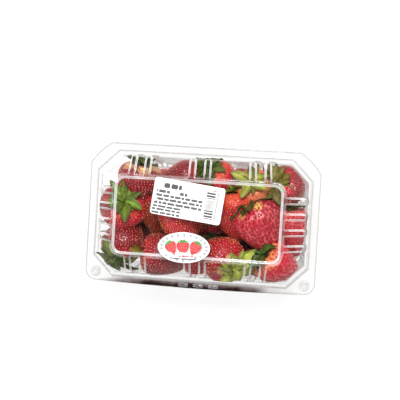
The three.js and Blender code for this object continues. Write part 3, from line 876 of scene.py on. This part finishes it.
def make_berries():
    """The heap in place of its plain solid: skins by ripeness, seeds and leaves, over a core dark as
    painted shade.
    """
    skins = {"dark": [], "red": [], "bright": [], "low": []}
    seeds, leaves = [], []
    for number, row in enumerate(TOP_BERRIES + LOW_BERRIES):
        top = number < len(TOP_BERRIES)
        look = row[5:] if top else LOW_LOOKS[number % len(LOW_LOOKS)]
        berry = Berry(100 + number, *row[:5], *look)
        kind = {DEEP: "dark", RUSSET: "dark", RED: "red", BRIGHT: "bright"}[look[0]] if top else "low"
        points, faces, tint, places = berry.flesh(*(TOP_MESH if top else LOW_MESH))
        skins[kind].append((berry.world(points), faces, tint))
        points, faces, tint = berry.seed_mesh(places)
        seeds.append((berry.world(points), faces, tint))
        for points, faces, tint in berry.calyx() + [berry.stem(berry.random.uniform(3, 8))]:
            leaves.append((berry.world(points), faces, tint))
    skin = berry_material()
    pieces = [joined_piece("berry_skins_" + kind, parts, skin, True) for kind, parts in skins.items()]
    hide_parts("strawberries")
    pieces.append(joined_piece("berry_seeds", seeds, seed_material(), True))
    greens = joined_piece("berry_leaves", leaves, leaf_material(), True)
    thicken = greens.modifiers.new("thickness", "SOLIDIFY")
    thicken.thickness = 0.35 * MM
    thicken.offset = 0
    for piece in pieces + [greens, make_shaded_core()]:
        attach(piece, "tray")


def make_shaded_core():
    """A lump that fills the unseen middle of the heap, near black as painted shade deep among the berries.
    """
    points = []
    rows, around = 13, 32
    for i in range(rows + 1):
        phi = pi * i / rows
        for angle in angles(around):
            lump = 1 + 0.06 * sin(3 * angle + 2 * phi) + 0.04 * sin(5 * angle - 3 * phi)
            c, s = cos(angle), sin(angle)
            reach = (abs(c) ** 4 + abs(s) ** 4) ** -0.25 * sin(phi) ** 0.5 if 0 < i < rows else 0.0
            points.append((58 * c * reach * lump, 24 * s * reach * lump, 24 + 17 * cos(phi)))
    return make_object("shaded_heap_core", points, tube_faces(rows + 1, around, flip=True), core_shade_material())


def make_plastic():
    """Finer sheets in place of the faceted ones, with their studs, vents and the film at the hinge."""
    clear = plastic_material()
    tray = formed_sheet("tray_sheet", TRAY_PROFILE, TRAY_HEIGHT, clear)
    mark_painted_lip_shade(tray)
    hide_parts("tray")
    lid = formed_sheet("lid_sheet", LID_PROFILE, LID_TOP, clear)
    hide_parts("lid")
    lid_studs = joined_piece("lid_studs", stud_parts(STUD_FOOT, STUD_HEIGHT, LID_TOP), clear)
    low_studs = stud_parts(STUD_FOOT - STUD_ROOM, STUD_HEIGHT - STUD_DROP, TRAY_HEIGHT)
    tray_studs = joined_piece("tray_studs", low_studs, clear)
    vents = joined_piece("lid_vents", vent_parts(), clear)
    for piece in (tray, tray_studs):
        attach(piece, "tray")
    for piece in (lid, lid_studs, vents):
        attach(piece, "lid")
    film = make_hinge_film(clear)
    # Painted white and grey lines for reflection and refraction, on the small parts as well
    for piece in (lid_studs, tray_studs, vents, film):
        bend = bends(piece)
        mark(piece, "bend", SMALL_SHARE * bend)
        mark(piece, "cut_edge", bend)


def make_hinge_film(material):
    """The strip of sheet that bends round the hinge line, from the tray's flange to the lid's."""
    low, high = TRAY_HEIGHT - SHEET / 2, LID_BASE + SHEET / 2
    section = [
        (57.6, low), (58.0, low), (58.25, low + 0.15), (58.35, (low + high) / 2), (58.25, high - 0.15),
        (58.0, high), (57.6, high),
    ]
    xs = np.linspace(-76, 76, 20)
    points = [(x, y, z) for x in xs for y, z in section]
    film = make_object("hinge_film", points, strip_faces(len(xs), len(section)), material)
    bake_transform(film)
    return film


# The stickers
CARD = {"x": -8.2, "y": 14.2, "length": 57.0, "width": 29.5, "turn": -6.6}
OVAL = {"x": -9.0, "y": -22.9, "length": 42.0, "width": 24.4, "turn": 1.0}
LABEL_GAP, LABEL_THICKNESS = 0.3, 0.25


def lid_height(x, y):
    """The lid's top surface near the panel."""
    inset = np.minimum(OPENING_X - np.abs(x), OPENING_Y - np.abs(y))
    rows = LID_PROFILE[5:]
    return np.interp(inset, [row[0] for row in rows], [row[1] for row in rows])


def paper_height(x, y):
    """Paper bridges small steps, so it lies on the highest plastic near each point."""
    return np.max([lid_height(x, y + step) for step in (-1.6, -0.8, 0.0, 0.8, 1.6)], axis=0) + LABEL_GAP


def on_label(label, u, v, lift):
    """Points in the punnet's frame from a sticker's own u and v, laid on the lid."""
    u, v = np.asarray(u, float), np.asarray(v, float)
    angle = radians(label["turn"])
    x = label["x"] + u * cos(angle) - v * sin(angle)
    y = label["y"] + u * sin(angle) + v * cos(angle)
    return np.stack([x, y, paper_height(x, y) + lift], -1)


def disc(label, outline, lift, shares=(0.02, 0.3, 0.55, 0.75, 0.88, 0.96, 1.0)):
    """A filled outline as rings of faces that follow the paper."""
    outline = np.asarray(outline, float)
    middle = outline.mean(0)
    rings = [middle + (outline - middle) * share for share in shares]
    flat = np.concatenate([[middle]] + rings)
    count = len(outline)
    faces = [[0, 1 + i, 1 + (i + 1) % count] for i in range(count)]
    faces += tube_faces(len(rings), count, 1, flip=True)
    return on_label(label, flat[:, 0], flat[:, 1], lift), faces


def rounded_box(cx, cy, width, height, corner, steps=5):
    points = []
    for qx, qy, start in ((1, -1, -pi / 2), (1, 1, 0), (-1, 1, pi / 2), (-1, -1, pi)):
        for i in range(steps + 1):
            angle = start + pi / 2 * i / steps
            x = cx + qx * (width / 2 - corner) + corner * cos(angle)
            y = cy + qy * (height / 2 - corner) + corner * sin(angle)
            points.append((x, y))
    return points


def turned(x, y, turn):
    return x * cos(turn) - y * sin(turn), x * sin(turn) + y * cos(turn)


def ellipse(cx, cy, width, height, count=48, turn=0.0):
    points = []
    for a in angles(count):
        x, y = turned(width / 2 * cos(a), height / 2 * sin(a), turn)
        points.append((cx + x, cy + y))
    return points


def paper(name, label, outline, material):
    """The sticker's sheet of paper: its top, its edge and its back."""
    top_points, top_faces = disc(label, outline, LABEL_THICKNESS)
    back_points, back_faces = disc(label, outline, 0.0)
    count, offset = len(outline), len(top_points)
    faces = top_faces + [[offset + i for i in reversed(face)] for face in back_faces]
    edge = offset - count
    for i in range(count):
        j = (i + 1) % count
        faces.append([edge + i, offset + edge + i, offset + edge + j, edge + j])
    made = make_object(name, np.concatenate([top_points, back_points]), faces, material)
    # The edge itself is flat-shaded
    for polygon in made.data.polygons[len(faces) - count:]:
        polygon.use_smooth = False
    return made


def printed(name, label, outlines, material, lift, shares=(0.5, 1.0)):
    """Flat ink shapes just above the paper."""
    parts = [(*disc(label, outline, LABEL_THICKNESS + lift, shares), (1, 1, 1)) for outline in outlines]
    made = joined_piece(name, parts, material)
    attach(made, "lid")
    return made


def word_bars(random, left, right, v, height):
    """A line of plain bars of uneven length, as a printed line looks from afar."""
    outlines, u = [], left
    while u < right - 1.5:
        length = min(random.uniform(2.2, 6.5), right - u)
        outlines.append(rounded_box(u + length / 2, v, length, height, 0.3 * height, 2))
        u += length + random.uniform(0.5, 0.9)
    return outlines


def make_labels():
    white = paper_material()
    card = paper("card_sticker", CARD, rounded_box(0, 0, CARD["length"], CARD["width"], 2.2), white)
    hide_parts("label_card")
    oval = paper("oval_sticker", OVAL, ellipse(0, 0, OVAL["length"], OVAL["width"]), white)
    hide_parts("label_oval")
    for piece in (card, oval):
        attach(piece, "lid")
    grey = ink_material("ink_grey", (0.03, 0.03, 0.033), (0.11, 0.11, 0.12))
    make_card_print(grey)
    make_oval_print(grey)


def make_card_print(grey):
    """Plain bars where a printed card has its title, its lines and its bar code."""
    black = ink_material("ink_black", (0.02, 0.02, 0.022), (0.08, 0.08, 0.085))
    random = np.random.default_rng(7)
    title = word_bars(random, -20.5, -6.0, 9.2, 3.9)
    title += [rounded_box(18.0, v, 7.2, height, 0.1, 2) for v, height in bar_code()]
    title += [rounded_box(23.4, v, 1.3, 0.9, 0.2, 2) for v in np.arange(-11.0, 11.0, 1.6)]
    printed("card_print_bold", CARD, title, black, 0.04)
    lines = word_bars(random, -27.0, -15.0, 4.2, 2.3) + word_bars(random, -7.0, -0.8, 4.3, 2.6)
    for v in (1.0, -2.0, -5.0):
        lines += word_bars(random, -27.3, 12.0, v, 1.9)
    for v in (-7.9, -10.3, -13.0):
        lines += word_bars(random, -27.3, -4.5, v, 1.6)
    printed("card_print_fine", CARD, lines, grey, 0.04)


def bar_code():
    """Places and heights of a plain column of bars, broad at both ends and fine in the middle."""
    top = [(11.4, 0.7), (9.0, 1.5), (6.8, 1.6), (5.1, 0.7)]
    bottom = [(-5.0, 1.1), (-7.0, 1.6), (-9.3, 1.5), (-11.0, 0.7)]
    return top + bottom + [(v, 0.36) for v in np.arange(-3.6, 4.0, 0.8)]


def berry_outline(cx, cy, size, turn):
    """A plain strawberry shape: broad at the top and pointed below."""
    points = []
    for a in angles(32):
        wide = size * cos(a) * (0.9 + 0.22 * sin(a) - 0.1 * sin(a) ** 2)
        high = size * (sin(a) * 1.02 - 0.3 * max(0.0, -sin(a)) ** 3)
        x, y = turned(wide, high, turn)
        points.append((cx + x, cy + y))
    return points


# Each berry of the motif: centre, size and turn
MOTIF = [(-10.4, 0.2, 4.9, 0.5), (-0.8, 0.6, 5.4, 0.05), (9.2, 0.6, 5.0, -0.45)]
# Shares for a wide shape's rings, which follow the paper over the rim
FINE = np.linspace(0.1, 1, 10)


def make_oval_print(grey):
    """Red berries over their shadow, with caps and seeds, in a border of pale fruit shapes."""
    red = ink_material("ink_red", (0.5, 0.012, 0.018), (0.58, 0.03, 0.03))
    green = ink_material("ink_green", (0.06, 0.3, 0.08), (0.1, 0.36, 0.1))
    white = ink_material("ink_white", (0.66, 0.64, 0.6), (0.74, 0.72, 0.7))
    pale = ink_material("ink_pale", (0.24, 0.25, 0.27), (0.42, 0.43, 0.45))

    shadows = [berry_outline(x + 0.6, y - 0.5, size + 0.5, turn) for x, y, size, turn in MOTIF]
    printed("oval_print_shade", OVAL, shadows, pale, 0.06, FINE)
    printed("oval_print_red", OVAL, [berry_outline(*berry) for berry in MOTIF], red, 0.12, FINE)
    printed("oval_print_line", OVAL, word_bars(np.random.default_rng(3), -4.0, 11.0, -6.9, 0.8), red, 0.06)
    caps, seeds = [], []
    for berry in MOTIF:
        caps += motif_cap(*berry)
        seeds += motif_seeds(*berry)
    printed("oval_print_green", OVAL, caps, green, 0.17)
    printed("oval_print_white", OVAL, seeds, white, 0.16)
    printed("oval_print_grey", OVAL, word_bars(np.random.default_rng(4), -8.5, 9.5, -8.9, 1.0), grey, 0.06)
    fruit = []
    for k in range(22):
        a = 2 * pi * (k + 0.5) / 22
        fruit.append(ellipse(18.2 * cos(a), 10.0 * sin(a), 3.0, 2.2, 16, a))
    printed("oval_print_pale", OVAL, fruit, pale, 0.04)


def motif_cap(x, y, size, turn):
    """Four leaves fanned over the top of a printed berry."""
    leaves = []
    for lean in (-1.15, -0.4, 0.4, 1.15):
        a = pi / 2 + turn + 0.45 * lean
        cx, cy = x + 0.86 * size * cos(a), y + 0.86 * size * sin(a)
        leaves.append(ellipse(cx, cy, 0.62 * size, 0.3 * size, 14, a + 0.9 * lean))
    return leaves


def motif_seeds(x, y, size, turn):
    """Three short rows of seeds on a printed berry."""
    seeds = []
    for row, count in ((0.25, 3), (-0.15, 4), (-0.55, 3)):
        for k in range(count):
            dx, dy = turned((k - (count - 1) / 2) * 0.36 * size, row * size, turn)
            seeds.append(ellipse(x + dx, y + dy, 0.42, 0.62, 8, turn))
    return seeds


# Studio
def make_studio():
    size = 3000
    floor = make_object(
        "floor", [(-size, -size, 0), (size, -size, 0), (size, size, 0), (-size, size, 0)], [[0, 1, 2, 3]],
        floor_material(), smooth=False,
    )
    world = bpy.data.worlds.new("studio")
    world.use_nodes = True
    tree = world.node_tree
    background = tree.nodes["Background"]
    place = tree.nodes.new("ShaderNodeTexCoord")
    split = tree.nodes.new("ShaderNodeSeparateXYZ")
    ramp = tree.nodes.new("ShaderNodeValToRGB")
    for element, position, grey in zip(ramp.color_ramp.elements, (0.35, 0.9), (1, 0.6)):
        element.position = position
        element.color = (grey, grey, grey, 1)
    tree.links.new(place.outputs["Generated"], split.inputs["Vector"])
    tree.links.new(split.outputs["Z"], ramp.inputs["Fac"])
    tree.links.new(ramp.outputs["Color"], background.inputs["Color"])
    background.inputs["Strength"].default_value = 0.85
    bpy.context.scene.world = world
    add_area("key", (0.1, 0.5, 1.2), 0.45, 22.0)
    add_area("side", (-0.9, -0.2, 0.9), 0.6, 3.0)


def add_area(name, place, size, power):
    light = bpy.data.lights.new(name, "AREA")
    light.size = size
    light.energy = power
    lamp = bpy.data.objects.new(name, light)
    bpy.context.scene.collection.objects.link(lamp)
    place = Vector(place)
    aim = Vector((0, 0, 0.05)) - place
    lamp.matrix_world = Matrix.Translation(place) @ aim.to_track_quat("-Z", "Y").to_matrix().to_4x4()


make_camera()
make_berries()
make_plastic()
make_labels()
make_studio()

scene = bpy.context.scene
scene.view_settings.view_transform = "Standard"
scene.view_settings.look = "None"
scene.cycles.transparent_max_bounces = 48
scene.cycles.max_bounces = 16
